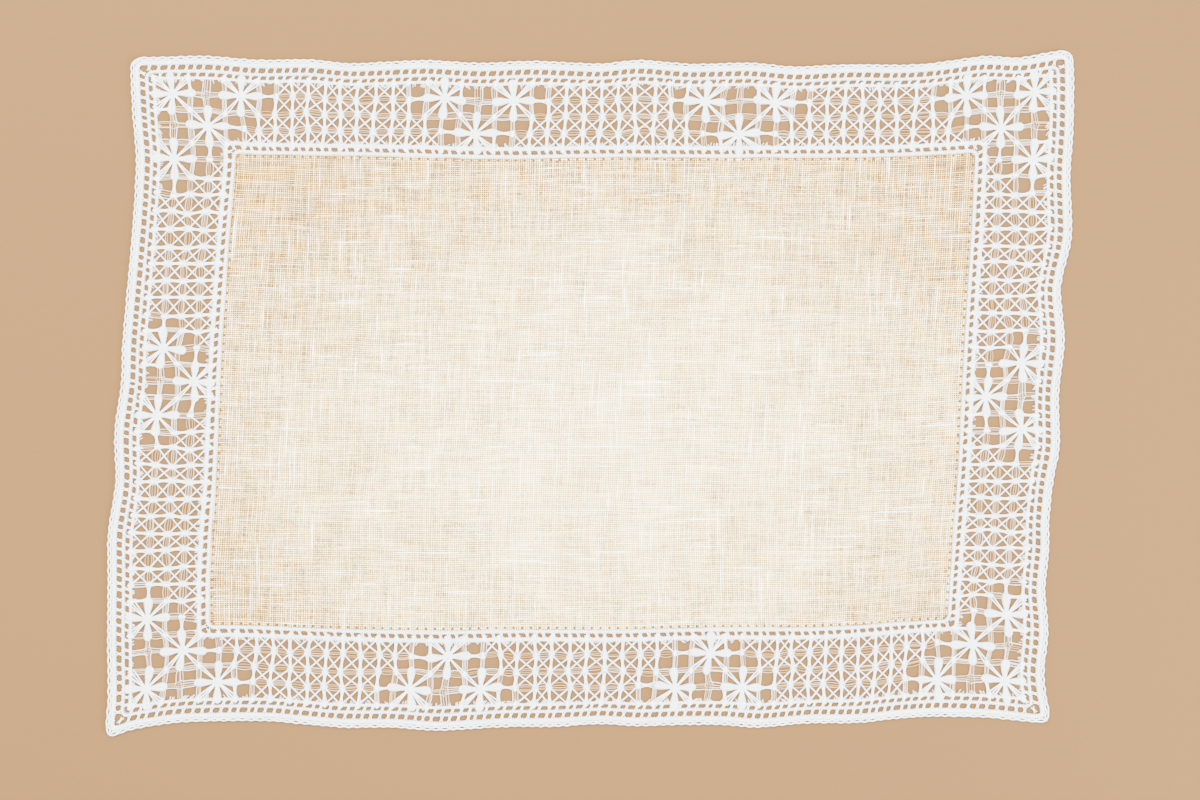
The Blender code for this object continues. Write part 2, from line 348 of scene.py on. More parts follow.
def strands(paths, width, height, tone=1.0, sides=4):
    """Closed tubes along paths (n, k, 3). Point = path + side * width * cos a + up * height * sin a, where
    side is level and square to the path, and a starts on top. Widths and heights are half sizes, one for
    each path point."""
    paths = np.asarray(paths, float)
    n, k, _ = paths.shape
    along = np.gradient(paths, axis=1)
    along /= np.linalg.norm(along, axis=2, keepdims=True) + TINY
    side = np.cross(UP, along)
    side /= np.linalg.norm(side, axis=2, keepdims=True) + TINY
    up = np.cross(along, side)
    angle = np.pi / 2.0 + 2.0 * np.pi * np.arange(sides) / sides
    width, height, tone = (np.broadcast_to(v, (n, k)) for v in (width, height, tone))
    spokes = (side[:, :, None] * (width[..., None] * np.cos(angle))[..., None]
              + up[:, :, None] * (height[..., None] * np.sin(angle))[..., None])
    points = paths[:, :, None] + spokes
    index = np.arange(n * k * sides).reshape(n, k, sides)
    turned = np.roll(index, -1, axis=2)
    walls = np.stack((index[:, :-1], turned[:, :-1], turned[:, 1:], index[:, 1:]), axis=-1)
    lengths = np.linalg.norm(np.diff(paths, axis=1), axis=2)
    run = np.concatenate((np.zeros((n, 1)), lengths.cumsum(axis=1)), axis=1)
    start, stop = run[:, :-1, None], run[:, 1:, None]
    share = np.arange(sides) / sides
    u = np.stack((start, start, stop, stop), axis=-1) / MM
    v = np.stack((share, share + 1.0 / sides, share + 1.0 / sides, share), axis=-1)
    uv = np.stack([np.broadcast_to(part, walls.shape) for part in (u, v)], axis=-1)
    return {
        "points": points.reshape(-1, 3),
        "walls": walls.reshape(-1, 4),
        "caps": np.concatenate((index[:, 0, ::-1], index[:, -1])),
        "uv": uv.reshape(-1, 2),
        "tone": np.repeat(tone.reshape(-1), sides),
    }


def fill_mesh(mesh, points, faces, sizes):
    """Put points and faces of mixed sizes into a mesh, as whole arrays."""
    mesh.vertices.add(len(points))
    mesh.vertices.foreach_set("co", points.astype(np.float32).ravel())
    mesh.loops.add(len(faces))
    mesh.loops.foreach_set("vertex_index", faces.astype(np.int32))
    mesh.polygons.add(len(sizes))
    mesh.polygons.foreach_set("loop_start", (np.cumsum(sizes) - sizes).astype(np.int32))
    mesh.update(calc_edges=True)
    mesh.shade_smooth()


def dress(piece, finish, slot, *nodes):
    """Give a piece its material, and let it stand for its CAD nodes. The slot is not used."""
    piece.data.materials.append(finish)
    bpy.context.scene.collection.objects.link(piece)
    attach(piece, "root")
    if nodes:
        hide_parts(*nodes)
    return piece


def thread_piece(name, parts, finish, slot, *nodes):
    """One object from many sets of strands. UV is millimetres along and turns round, tone is a shade."""
    counts = np.cumsum([0] + [len(part["points"]) for part in parts])
    faces, sizes, uv = [], [], []
    for part, first in zip(parts, counts):
        for kind in ("walls", "caps"):
            faces.append((part[kind] + first).ravel())
            sizes.append(np.full(len(part[kind]), part[kind].shape[1]))
        uv += [part["uv"], np.zeros((part["caps"].size, 2))]
    mesh = bpy.data.meshes.new(name)
    points = np.vstack([part["points"] for part in parts])
    fill_mesh(mesh, points, np.concatenate(faces), np.concatenate(sizes))
    mesh.uv_layers.new(name="strand").data.foreach_set("uv", np.vstack(uv).astype(np.float32).ravel())
    tone = mesh.attributes.new("tone", "FLOAT", "POINT")
    tone.data.foreach_set("value", np.concatenate([part["tone"] for part in parts]).astype(np.float32))
    return dress(bpy.data.objects.new(name, mesh), finish, slot, *nodes)


def between(start, end, steps):
    """Even points on straight lines from start (n, 2) to end (n, 2), as (n, steps, 2), and their shares."""
    share = np.linspace(0.0, 1.0, steps)
    return start[:, None] + (end - start)[:, None] * share[None, :, None], share


def square_to(start, end):
    """Grid directions square to lines from start to end."""
    line = end - start
    line = line / np.linalg.norm(line, axis=-1, keepdims=True)
    return np.stack((-line[..., 1], line[..., 0]), axis=-1)


def spread_threads(start, end, rng, count, ends, belly, half, lift, tones=(1.0, 1.0)):
    """Count threads side by side on each line. A thread's offset is its place from -1 to 1 times the half
    spread. That goes evenly from one of ends to the other, drawn towards belly by 1 - (2t - 1)^2: a lens
    where belly is larger, a waist where it is smaller. Ends and belly are one length for all lines, or
    one for each. Each thread has a tone of its own between tones."""
    line, share = between(start, end, steps=6)
    across = square_to(start, end)
    n = len(start)
    first, last = (np.broadcast_to(value, (n, 1)) for value in ends)
    even = first + (last - first) * share
    drawn = 1.0 - (2.0 * share - 1.0) ** 2
    shape = even + (belly * rng.uniform(0.75, 1.2, (n, 1)) - even) * drawn
    arch = np.sin(np.pi * share)
    parts = []
    for spot in np.linspace(-1.0, 1.0, count):
        slack = rng.normal(1.0, 0.14, (n, 1))
        drift = rng.normal(0.0, 0.1, (n, 1)) * belly * arch
        offset = (spot * shape * slack + drift) / CELL
        height = lift + rng.normal(0.0, 0.06 * MM, (n, 1)) * arch
        path = place(line + across[:, None] * offset[..., None], height)
        mixed = 0.35 * abs(spot) + 0.65 * rng.random((n, 1))
        tone = tones[0] + (tones[1] - tones[0]) * mixed
        wide = half * rng.uniform(*THREAD_RANGE, (n, 1))
        parts.append(strands(path, wide, FLATNESS * wide, tone))
    return parts


def lumps(centre, direction, half_long, half_wide, half_high, lift, steps=5, sides=6):
    """Rounded lumps: strands along direction whose half width and height shrink by sqrt(1 - t^2), with t
    from -1 to 1, cut off just short of the points."""
    t = np.linspace(-0.97, 0.97, steps)
    line = centre[:, None] + direction[:, None] * (t[None, :, None] * half_long / CELL)
    round_off = np.sqrt(1.0 - t ** 2)
    return strands(place(line, lift), half_wide * round_off, half_high * round_off, sides=sides)


def read(nodes, index):
    """Grid places of the crossings at a list of columns and rows."""
    return nodes[index[:, 0], index[:, 1]]


def ends_of(edges, nodes):
    """Start and end places of a list of edges."""
    index = np.array(edges)
    return read(nodes, index[:, 0]), read(nodes, index[:, 1])


# --- Rows of stitches round the mat ---


def in_row(depth, corner, pitch):
    """Places along a row round the mat, with the directions out of it and along it."""
    spot, normal = ring(depth, corner, pitch)
    return spot, normal, np.stack((-normal[:, 1], normal[:, 0]), axis=-1)


def beside(spot, normal, tangent, out, along):
    """Grid places that lie out and along, in cells, from each spot of a row."""
    return spot[:, None] + normal[:, None] * out[..., None] + tangent[:, None] * along[..., None]


def stitches(depth, corner, pitch, half_long, slant, half, lift, rise, rng, uneven=0.12):
    """Short arched stitches across a row: at t from -1 to 1 each lies t * half_long out along the normal
    and t * slant along the row, at lift + rise * (1 - t^2)."""
    spot, normal, tangent = in_row(depth, corner, pitch / CELL)
    n = len(spot)
    t = np.linspace(-1.0, 1.0, 4)
    slip = rng.normal(0.0, uneven * pitch, (n, 1))
    reach = half_long * rng.uniform(1.0 - uneven, 1.0 + uneven, (n, 1))
    grid = beside(spot, normal, tangent, t * reach / CELL, (t * slant + slip) / CELL)
    height = lift + rise * (1.0 - t ** 2) * rng.uniform(*REACH_RANGE, (n, 1))
    thick = half * np.sqrt(1.0 - (TAPER * t) ** 2) * rng.uniform(*STITCH_RANGE, (n, 1))
    return strands(place(grid, height), thick, 0.9 * thick)


def cord_round(depth, corner, half_wide, half_high, lift, pitch=0.35, wander=0.0, rng=None, tone=1.0):
    """One thread or flat backing all the way round, its two ends meeting under the stitches. It strays
    from its line by a normal error of wander."""
    spot, normal = ring(depth, corner, pitch)
    if wander:
        spot = spot + normal * rng.normal(0.0, wander / CELL, (len(spot), 1))
    spot = np.vstack((spot, spot[:2]))
    return strands(place(spot, lift)[None], half_wide, half_high, tone, sides=6)


def ladder_rib(depth, corner, backing, pitch, half_long, slant, half, lift, rng):
    """A rib of a ladder: a flat backing all the way round, and the stitches worked over it."""
    return [cord_round(depth, corner, backing, half_high=0.25 * MM, lift=0.5 * MM),
            stitches(depth, corner, pitch, half_long, slant, half, lift, rise=0.25 * MM, rng=rng)]


def rungs(depth, corner, half_long, waist, flare, half, lift, lean, rng):
    """The bars between a row's holes, two threads each. At t from -1 to 1 a thread lies t * half_long out
    and lean * t +- (waist + flare * t^2) along the row."""
    spot, normal, tangent = in_row(depth, corner, 1.0 / HOLES_A_CELL)
    t = np.linspace(-1.0, 1.0, 5)
    n = len(spot)
    slip = rng.normal(0.0, 0.27 * MM, (n, 1))
    parts = []
    for hand in (-1.0, 1.0):
        along = hand * (waist + flare * t ** 2) + lean * t + slip
        grid = beside(spot, normal, tangent, (t * half_long / CELL)[None], along / CELL)
        thick = half * rng.uniform(*THREAD_RANGE, (n, 1))
        parts.append(strands(place(grid, lift), thick, thick))
    return parts


def thread_ends(depth, side, half, rng):
    """Little combs of cut thread that stand out of a ladder's rim into the net's cells: four ends to a
    comb, side by side, all leaning one way by lean * t^1.5. Side is 1 outwards and -1 inwards."""
    spot, normal, tangent = in_row(depth, INNER_CORNER, 0.5)
    n = len(spot)
    t = np.linspace(0.0, 1.0, 4)
    lean = rng.normal(0.0, 0.9, (n, 1)) * MM / CELL
    slip = rng.normal(0.0, 0.5, (n, 1)) * MM / CELL
    parts = []
    for end in (-1.5, -0.5, 0.5, 1.5):
        reach = rng.uniform(0.3, 2.2, (n, 1)) * MM / CELL
        along = end * 0.52 * MM / CELL + slip + rng.normal(0.0, 0.12, (n, 1)) * MM / CELL
        grid = beside(spot, normal, tangent, side * t * reach, lean * t ** 1.5 + along)
        thick = half * rng.uniform(0.9, 1.3, (n, 1))
        tone = rng.uniform(0.5, 1.1, (n, 1))
        parts.append(strands(place(grid, 0.5 * MM), thick, thick, tone))
    return parts


# --- Materials ---

# Noise scales are lumps for each metre on the object, or for each millimetre on a UV. Real fibres are about
# 0.02 mm across, too fine to show, so they are drawn as lumps of 0.3 to 0.4 mm.
FLUFF = 2.6 / MM         # fibres on a thread, a lump each 0.4 mm
WEAR = 0.09 / MM         # shading over the threads, a lump each 11 mm
LINEN_FLUFF = 3.0 / MM   # fibres on the linen, a lump each 0.3 mm
LINEN_TINT = 1.3         # the linen's shading, a lump each 0.8 mm
BROAD = 0.03             # the cloth's open patches and its threads' sway, a lump each 33 mm

# Shares of a thread's colour and relief.
GROOVE_SHADE = 0.25            # how much painted shade darkens a thread between its plies
FLUFFY = 0.35            # height of its fibres, of its plies' height
SHADING = 0.35           # how much its shading wanders
LINEN_FLUFFY = 0.2       # height of the linen's fibres, of a thread's height
CRIMP = 0.3              # how far a linen thread rises and dips as it passes over and under
SLUB_RISE = 0.3          # how much higher it is in a slub

# The weave, in thread pitches unless it says otherwise.
SWAY = 1.5               # how far threads sway from straight, in mm
LINE = (0.45, 0.1)       # a thread's line in its pitch, and how far it may be beyond that
SLUBS = (0.6, 0.76)      # noise at which a thread starts to thicken, and at which it is a slub
TINTS = (0.42, 0.98)     # tint at which the linen has its painted shade, and at which it has its colour
TINT_NOISE = 0.3         # how much the tint wanders
TINT_CLOSE_AND_VIGNETTE = 1.2         # how much paler the cloth is painted where it is closer: in its random patches, and in its middle as a painted vignette that leaves the corners tanner
EDGE_BLUR = 0.03         # a thread's edge is soft over this, each way
LEAST = 0.05             # the least that a thread reaches, where its height is worked out
MOST_WORN = -0.08        # the most that a thread is narrowed beside a gap
HOLE_BLUR = 0.08         # a pin hole's edge is soft over this, in mm
HOLE_SHADE = 0.3         # width of the painted shade round it, in mm


def add(tree, kind, *values, **more):
    """Add one node, with its settings and links. A kind may carry its operation, as in Math.SINE. Values go
    to its inputs in order. Of the rest, a name with a capital is an input, i6 is input 6, and any other
    is a setting. A value is a number, a colour, an output, or a node, for its first output in use."""
    kind, _, operation = kind.partition(".")
    made = tree.nodes.new("ShaderNode" + kind)
    if operation:
        made.operation = operation
    inputs = dict(enumerate(values))
    for key, value in more.items():
        if key[0].isupper():
            inputs[key.replace("_", " ")] = value
        elif key[1:].isdigit():
            inputs[int(key[1:])] = value
        else:
            setattr(made, key, value)
    for key, value in inputs.items():
        if isinstance(value, bpy.types.Node):
            value = next(output for output in value.outputs if output.enabled)
        if isinstance(value, bpy.types.NodeSocket):
            tree.links.new(value, made.inputs[key])
        else:
            made.inputs[key].default_value = value
    return made


def new_material(name):
    """An empty material, and the function that adds nodes to it."""
    made = bpy.data.materials.new(name)
    made.use_nodes = True
    made.node_tree.nodes.clear()
    return made, partial(add, made.node_tree)


def thread_material(name, pale, deep, roughness, twist_mm):
    """Spun cotton or linen thread, matt and softly fibrous. Tone blends the two colours, two plies turn
    round each other every twist_mm, and fine fibres roughen them. The deep colour is also painted shade
    in the grooves between the plies."""
    made, node = new_material(name)
    uv = node("UVMap", uv_map="strand")
    split = node("SeparateXYZ", uv)
    tone = node("Attribute", attribute_name="tone").outputs["Fac"]
    turn = node("Math.MULTIPLY_ADD", split.outputs[0], 1.0 / twist_mm, split.outputs[1])
    ply = node("Math.ABSOLUTE", node("Math.SINE", node("Math.MULTIPLY", turn, 2.0 * np.pi)))
    spot = node("TexCoord").outputs["Object"]
    fibres = node("TexNoise", spot, Scale=FLUFF, Detail=3.0)
    wear = node("TexNoise", spot, Scale=WEAR, Detail=2.0)
    # Painted shade: the colour leans to the deep one in the grooves between the plies.
    groove_shade = node("Math.MULTIPLY_ADD", ply, GROOVE_SHADE, 1.0 - GROOVE_SHADE)
    share = node("Math.MULTIPLY", tone, groove_shade)
    share = node("Math.MULTIPLY_ADD", node("Math.SUBTRACT", wear, 0.5), SHADING, share)
    colour = node("Mix", share, i6=(*deep, 1.0), i7=(*pale, 1.0), data_type="RGBA")
    relief = node("Math.MULTIPLY_ADD", fibres, FLUFFY, ply)
    bump = node("Bump", Strength=0.8, Distance=0.2 * MM, Height=relief)
    shader = node("BsdfPrincipled", Base_Color=colour, Roughness=roughness, Normal=bump,
                  Sheen_Weight=0.25, Specular_IOR_Level=0.25)
    node("OutputMaterial", Surface=shader)
    return made


def along_thread(node, number, along, stride, rate, seed, detail):
    """Noise that wanders along each linen thread and starts afresh on the next. It is read at stride times
    the thread's number, rate times the millimetres along it, and seed."""
    key = node("CombineXYZ", node("Math.MULTIPLY", number, stride), node("Math.MULTIPLY", along, rate), seed)
    return node("TexNoise", key, Scale=1.0, Detail=detail)


def linen_threads(node, settings, way, count, along, grown, turns):
    """The linen's threads of one way, as cover, bare slub and height. A thread reaches thin, or thick in a
    slub, each way from its line, plus a swell along it and what the cloth there gives. Its height is
    sqrt(1 - flank^2), with flank the share of the reach, and it rises and dips over and under others."""
    number = node("Math.FLOOR", count)
    own = node("TexWhiteNoise", node("CombineXYZ", number, 0.5, 3.7 + way), noise_dimensions="3D")
    inside = node("Math.ABSOLUTE", node("Math.SUBTRACT", node("Math.FRACT", count),
                                        node("Math.MULTIPLY_ADD", own, LINE[1], LINE[0])))
    wander = along_thread(node, number, along, stride=7.31, rate=0.035, seed=3.7 + way, detail=2.0)
    slub = node("MapRange", wander, *SLUBS, 0.0, 1.0)
    wander = along_thread(node, number, along, stride=5.17, rate=0.065, seed=11.3 + way, detail=1.0)
    swell = node("Math.SUBTRACT", wander, 0.5)
    reach = node("Math.MULTIPLY_ADD", swell, settings.swell,
                 node("Math.MULTIPLY_ADD", slub, settings.thick - settings.thin, settings.thin))
    reach = node("Math.ADD", reach, grown)
    cover = node("MapRange", node("Math.SUBTRACT", inside, reach), -EDGE_BLUR, EDGE_BLUR, 1.0, 0.0)
    bare_slub = node("Math.MULTIPLY", slub, cover)
    flank = node("Math.DIVIDE", inside, node("Math.MAXIMUM", reach, LEAST))
    dome = node("Math.MULTIPLY_ADD", flank, node("Math.MULTIPLY", flank, -1.0), 1.0)
    dome = node("Math.SQRT", node("Math.MAXIMUM", dome, 0.0))
    top = node("Math.MULTIPLY_ADD", turns, (CRIMP, -CRIMP)[way], 1.0 - CRIMP)
    top = node("Math.MULTIPLY_ADD", slub, SLUB_RISE, top)
    return cover, bare_slub, node("Math.MULTIPLY", dome, top)


def to_pin_hole(node, across, down):
    """Millimetres to the nearest pin hole: sqrt(u^2 + v^2), with u along a seam and v across it. They stand
    along the four seams, as many as the ladder's."""
    far = 10.0  # beyond any hole's shade
    for along, pitch, out, lines, depth in ((across, PITCH_X, down, (0, ROWS), PITCH_Y),
                                            (down, PITCH_Y, across, (0, COLUMNS), PITCH_X)):
        step = pitch / HOLES_A_CELL / MM
        off_u = node("Math.SUBTRACT", node("Math.FRACT", node("Math.DIVIDE", along, step)), 0.5)
        off_u = node("Math.MULTIPLY", off_u, step)
        for line in lines:
            spot = abs(line - PIN_HOLES) * depth / MM
            off_v = node("Math.SUBTRACT", out, spot)
            near = node("Math.MULTIPLY_ADD", off_u, off_u, node("Math.MULTIPLY", off_v, off_v))
            far = node("Math.MINIMUM", far, node("Math.SQRT", near))
    return far


def linen_material(name, settings):
    """Plain-weave linen, hand-spun and open. Threads lie both ways at their real pitch, swell into slubs
    and pass over and under each other, and the table shows through the gaps between them."""
    made, node = new_material(name)
    uv = node("UVMap", uv_map="weave")
    split = node("SeparateXYZ", uv)
    across, down = split.outputs[0], split.outputs[1]

    # The cloth is closest a little below its middle and opens towards its corners. The same measure paints
    # it paler there and tanner towards the corners, a painted vignette.
    from_middle = []
    for spot, lines, pitch, shift in ((across, COLUMNS, PITCH_X, 0.04), (down, ROWS, PITCH_Y, 0.18)):
        half = lines * pitch / MM / 2.0
        from_middle.append(node("Math.MULTIPLY_ADD", spot, 1.0 / half, -1.0 - shift))
    away = node("Math.ADD", *[node("Math.MULTIPLY", far, far) for far in from_middle])
    broad = node("Math.SUBTRACT", node("TexNoise", uv, Scale=BROAD, Detail=3.0), 0.5)
    soft = node("Math.MULTIPLY_ADD", away, -settings.worn_and_vignette, node("Math.MULTIPLY", broad, settings.patchy))

    # Places are counted in thread pitches, and each gap is closed a little by an amount of its own.
    sway = node("SeparateColor", node("TexNoise", uv, Scale=BROAD, Detail=1.0).outputs["Color"])
    counts = []
    for way, (spot, pitch) in enumerate(((across, settings.warp_pitch), (down, settings.weft_pitch))):
        swayed = node("Math.MULTIPLY_ADD", sway.outputs[way], SWAY, spot)
        counts.append(node("Math.DIVIDE", swayed, pitch / MM))
    gap = node("CombineXYZ", *[node("Math.ROUND", count) for count in counts], 9.0)
    gap = node("TexWhiteNoise", gap, noise_dimensions="3D")
    grown = node("Math.MAXIMUM", node("Math.MULTIPLY_ADD", gap, settings.uneven, soft), MOST_WORN)
    waves = [node("Math.SINE", node("Math.MULTIPLY", count, np.pi)) for count in counts]
    turns = node("Math.MULTIPLY", *waves)
    ways = [linen_threads(node, settings, way, counts[way], along, grown, turns)
            for way, along in enumerate((down, across))]
    covers, slubs, heights = zip(*ways)

    relief = node("Math.MAXIMUM", *heights)
    far = to_pin_hole(node, across, down)
    hole = settings.pin_hole / MM
    pins = node("MapRange", far, hole - HOLE_BLUR, hole, 0.0, 1.0)
    # Painted shade: the tint falls with a thread's height, so its flanks beside the gaps take the shade
    # colour.
    tint = node("Math.MULTIPLY_ADD", node("TexNoise", uv, Scale=LINEN_TINT, Detail=2.0), TINT_NOISE,
                node("Math.MULTIPLY_ADD", soft, TINT_CLOSE_AND_VIGNETTE, relief))
    shade, pale, slub_colour, pin_shade = ((*colour, 1.0) for colour in (
        settings.shade, settings.colour, settings.slub_colour, settings.pin_shade))
    tint = node("MapRange", tint, *TINTS, 0.0, 1.0)
    colour = node("Mix", tint, i6=shade, i7=pale, data_type="RGBA")
    colour = node("Mix", node("Math.MAXIMUM", *slubs), i6=colour, i7=slub_colour, data_type="RGBA")
    # Painted shade: a dark ring round each pin hole.
    rim = node("MapRange", far, hole, hole + HOLE_SHADE, 0.0, 1.0)
    colour = node("Mix", rim, i6=pin_shade, i7=colour, data_type="RGBA")
    alpha = node("Math.MULTIPLY", pins, node("Math.MAXIMUM", *covers))
    spot = node("TexCoord").outputs["Object"]
    fluff = node("TexNoise", spot, Scale=LINEN_FLUFF, Detail=2.0)
    height = node("Math.MULTIPLY_ADD", fluff, LINEN_FLUFFY, relief)
    bump = node("Bump", Strength=0.8, Distance=0.3 * MM, Height=height)
    shader = node("BsdfPrincipled", Base_Color=colour, Roughness=0.9, Normal=bump, Alpha=alpha,
                  Sheen_Weight=0.15, Specular_IOR_Level=0.2)
    node("OutputMaterial", Surface=shader)
    return made


def plain_material(name, colour, roughness):
    """Painted board: one even matt colour."""
    made, node = new_material(name)
    shader = node("BsdfPrincipled", Base_Color=(*colour, 1.0), Roughness=roughness)
    node("OutputMaterial", Surface=shader)
    return made


def cotton(settings, name="mercerised_cotton"):
    """The lace's white cotton: bright, in two plies, with a soft sheen. It is made once for each name."""
    found = bpy.data.materials.get(name)
    return found or thread_material(name, settings.white, settings.white_shade, roughness=0.8, twist_mm=0.9)


# --- Settings ---


def number_property(name, text, default, **kind):
    """A number that isn't negative."""
    return bpy.props.FloatProperty(name=name, description=text, default=default, min=0.0, **kind)


def length_property(name, text, default):
    """A length in metres."""
    return number_property(name, text, default, subtype="DISTANCE", unit="LENGTH", precision=5)


def share_property(name, text, default):
    """A share of one."""
    return number_property(name, text, default, max=1.0, precision=3)


def colour_property(name, text, default):
    """A colour, given as sRGB hex."""
    return bpy.props.FloatVectorProperty(name=name, description=text, default=linear(default), size=3,
                                         min=0.0, max=1.0, subtype="COLOR")


class LinenSettings(bpy.types.PropertyGroup):
    """The linen middle."""

    warp_pitch: length_property("Warp pitch", "Distance between the threads that run down", 1.05 * MM)
    weft_pitch: length_property("Weft pitch", "Distance between the threads that run across", 1.02 * MM)
    height: length_property("Height", "How high the cloth lies over the table", 0.55 * MM)
    pin_hole: length_property("Pin hole", "Radius of the needle's holes along the seam", 0.48 * MM)
    thin: share_property("Thread", "Half width of a thread, in pitches", 0.23)
    thick: share_property("Slub", "Half width of a thread in a slub, in pitches", 0.32)
    uneven: share_property("Unevenness", "How much wider threads are beside some gaps, in pitches", 0.1)
    swell: share_property("Swell", "How much a thread's width wanders along its length, in pitches", 0.62)
    # Worn also paints the cloth tanner away from the middle, a painted vignette.
    worn_and_vignette: share_property("Worn", "How much narrower threads are away from the middle, in pitches", 0.12)
    patchy: share_property("Patchiness", "How much the closeness of the cloth wanders, in pitches", 0.1)
    colour: colour_property("Colour", "Bleached linen", "#FFF7C4")
    slub_colour: colour_property("Slub colour", "The soft thick places in a thread", "#FFFFF0")
    # Painted shade on the threads' flanks, beside the gaps.
    shade: colour_property("Shade", "Between and beside the threads", "#D89A00")
    # Painted shade round the needle's holes.
    pin_shade: colour_property("Pin shade", "Round the needle's holes", "#5A3A14")


class LaceSettings(bpy.types.PropertyGroup):
    """The lace border's threads."""

    white: colour_property("White", "Bleached cotton", "#FCFEFF")
    # Painted shade: the grey-blue that the cotton takes between its plies and on petals' underlays; threads
    # of low tone lean to it too.
    white_shade: colour_property("White shade", "In the cotton's folds", "#AAB6C2")
    ecru: colour_property("Ecru", "The linen ground threads' unbleached tint", "#B88B48")
    fine_thread: length_property("Fine thread", "Half width of a ground thread", 0.2 * MM)
    bar_thread: length_property("Bar thread", "Half width of a thread in a wrapped bar", 0.28 * MM)
    ray_thread: length_property("Ray thread", "Half width of a thread in a flower's rays", 0.34 * MM)
    cross_thread: length_property("Cross thread", "Half width of a diagonal", 0.33 * MM)
    uneven: length_property("Unevenness", "How far crossings stray from their places", 0.5 * MM)
    petal_long: length_property("Petal", "Length of a petal from the flower's middle", 10.2 * MM)
    petal_wide: length_property("Petal width", "Width of a petal at its widest", 4.2 * MM)
    eye: length_property("Flower middle", "Radius of a flower's round middle", 2.2 * MM)


class StageSettings(bpy.types.PropertyGroup):
    """Floor, light and camera."""

    floor_colour: colour_property("Floor", "Plain board, light tan under these lights", "#5D3F14")
    field: length_property("Field", "Width of what the camera sees on the table", 573.2 * MM)
    lens: number_property("Lens", "Focal length", 100.0, unit="CAMERA")
    aim_x: length_property("Aim right", "How far right of the mat's middle the camera looks", 5.0 * MM)
    aim_y: length_property("Aim down", "How far below the mat's middle the camera looks", 3.1 * MM)
    key: number_property("Key light", "Soft overhead light", 150.0, unit="POWER")
    side: number_property("Side light", "Low soft light", 68.0, unit="POWER")
    sky: number_property("Surroundings", "Strength of the even light all round", 2.8)


# --- Pieces ---


def begin(context, piece):
    """The lace's settings, and the random numbers of one piece."""
    return context.scene.mat_lace, np.random.default_rng(SEEDS[piece])


class LACEMAT_OT_linen(bpy.types.Operator):
    """Weave the linen middle"""

    bl_idname = "lace_mat.linen"
    bl_label = "Linen"

    def execute(self, context):
        settings = context.scene.mat_linen
        columns = np.linspace(LINEN, COLUMNS - LINEN, CLOTH_POINTS[0])
        rows = np.linspace(LINEN, ROWS - LINEN, CLOTH_POINTS[1])
        grid = np.stack(np.meshgrid(columns, rows, indexing="ij"), axis=-1)
        # The ripple is a sine across the cloth, shifted by a sine down it, times another sine down it.
        column, row = grid[..., 0], grid[..., 1]
        ripple = 0.08 * MM * np.sin(column * 0.9 + 1.7 * np.sin(row * 0.31)) * np.sin(row * 0.6)
        points = place(grid, settings.height + ripple)
        index = np.arange(column.size).reshape(column.shape)
        faces = np.stack((index[:-1, :-1], index[:-1, 1:], index[1:, 1:], index[1:, :-1]), axis=-1)
        faces = faces.reshape(-1, 4)
        mesh = bpy.data.meshes.new("linen_cloth")
        fill_mesh(mesh, points.reshape(-1, 3), faces.ravel(), np.full(len(faces), 4))
        flat = (grid * np.array((PITCH_X, PITCH_Y)) / MM).reshape(-1, 2)[faces.ravel()]
        mesh.uv_layers.new(name="weave").data.foreach_set("uv", flat.astype(np.float32).ravel())
        finish = linen_material("plain_weave_linen", settings)
        dress(bpy.data.objects.new("linen_cloth", mesh), finish, "linen", "linen_panel")
        return {"FINISHED"}


class LACEMAT_OT_ground(bpy.types.Operator):
    """Stretch the net's fine ground threads and its wrapped bars"""

    bl_idname = "lace_mat.ground"
    bl_label = "Ground Threads"

    def half_spread(self, node):
        """How far loose threads stand apart each way at a crossing: drawn together at a petal's tip and
        widest where two loose bundles cross."""
        if node in TIPS:
            return 0.5 * MM
        return 1.9 * MM if is_bare(node) else 1.2 * MM

    def loose_threads(self, edges, nodes, half, rng):
        """Four loose threads to an edge. They draw together in its middle, but run evenly from one spread
        to the other beside a bare crossing."""
        ends = [np.array([[self.half_spread(edge[i])] for edge in edges]) for i in (0, 1)]
        tapered = np.array([[is_bare(edge[0]) or is_bare(edge[1])] for edge in edges])
        upright = np.array([[edge[0][0] == edge[1][0]] for edge in edges])
        waist = np.where(upright, 0.95 * MM, 1.3 * MM)
        belly = np.where(tapered, (ends[0] + ends[1]) / 2.0, waist)
        return spread_threads(*ends_of(edges, nodes), rng, count=4, ends=ends, belly=belly, half=half,
                              lift=0.5 * MM, tones=(-0.4, 1.1))

    def execute(self, context):
        settings, rng = begin(context, "ground")
        nodes = crossings(settings.uneven)
        edges = net_edges(rng)
        fine = settings.fine_thread
        parts = spread_threads(*ends_of(edges["bundle"], nodes), rng, count=4, ends=(0.6 * MM, 0.6 * MM),
                               belly=1.6 * MM, half=1.05 * fine, lift=0.45 * MM, tones=(-0.6, 0.6))
        parts += self.loose_threads(edges["loose"], nodes, fine, rng)
        parts += thread_ends(depth=NET_OUTER + 0.05, side=-1.0, half=fine, rng=rng)
        parts += thread_ends(depth=NET_INNER - 0.14, side=1.0, half=fine, rng=rng)
        finish = thread_material("drawn_linen_thread", settings.white, settings.ecru, roughness=0.85,
                                 twist_mm=0.7)
        thread_piece("net_ground_threads", parts, finish, "lace_cotton", "lace_net")
        parts = spread_threads(*ends_of(edges["bar"], nodes), rng, count=3, ends=(1.35 * MM, 1.35 * MM),
                               belly=0.3 * MM, half=settings.bar_thread, lift=0.6 * MM)
        thread_piece("net_bars", parts, cotton(settings), "lace_cotton")
        return {"FINISHED"}


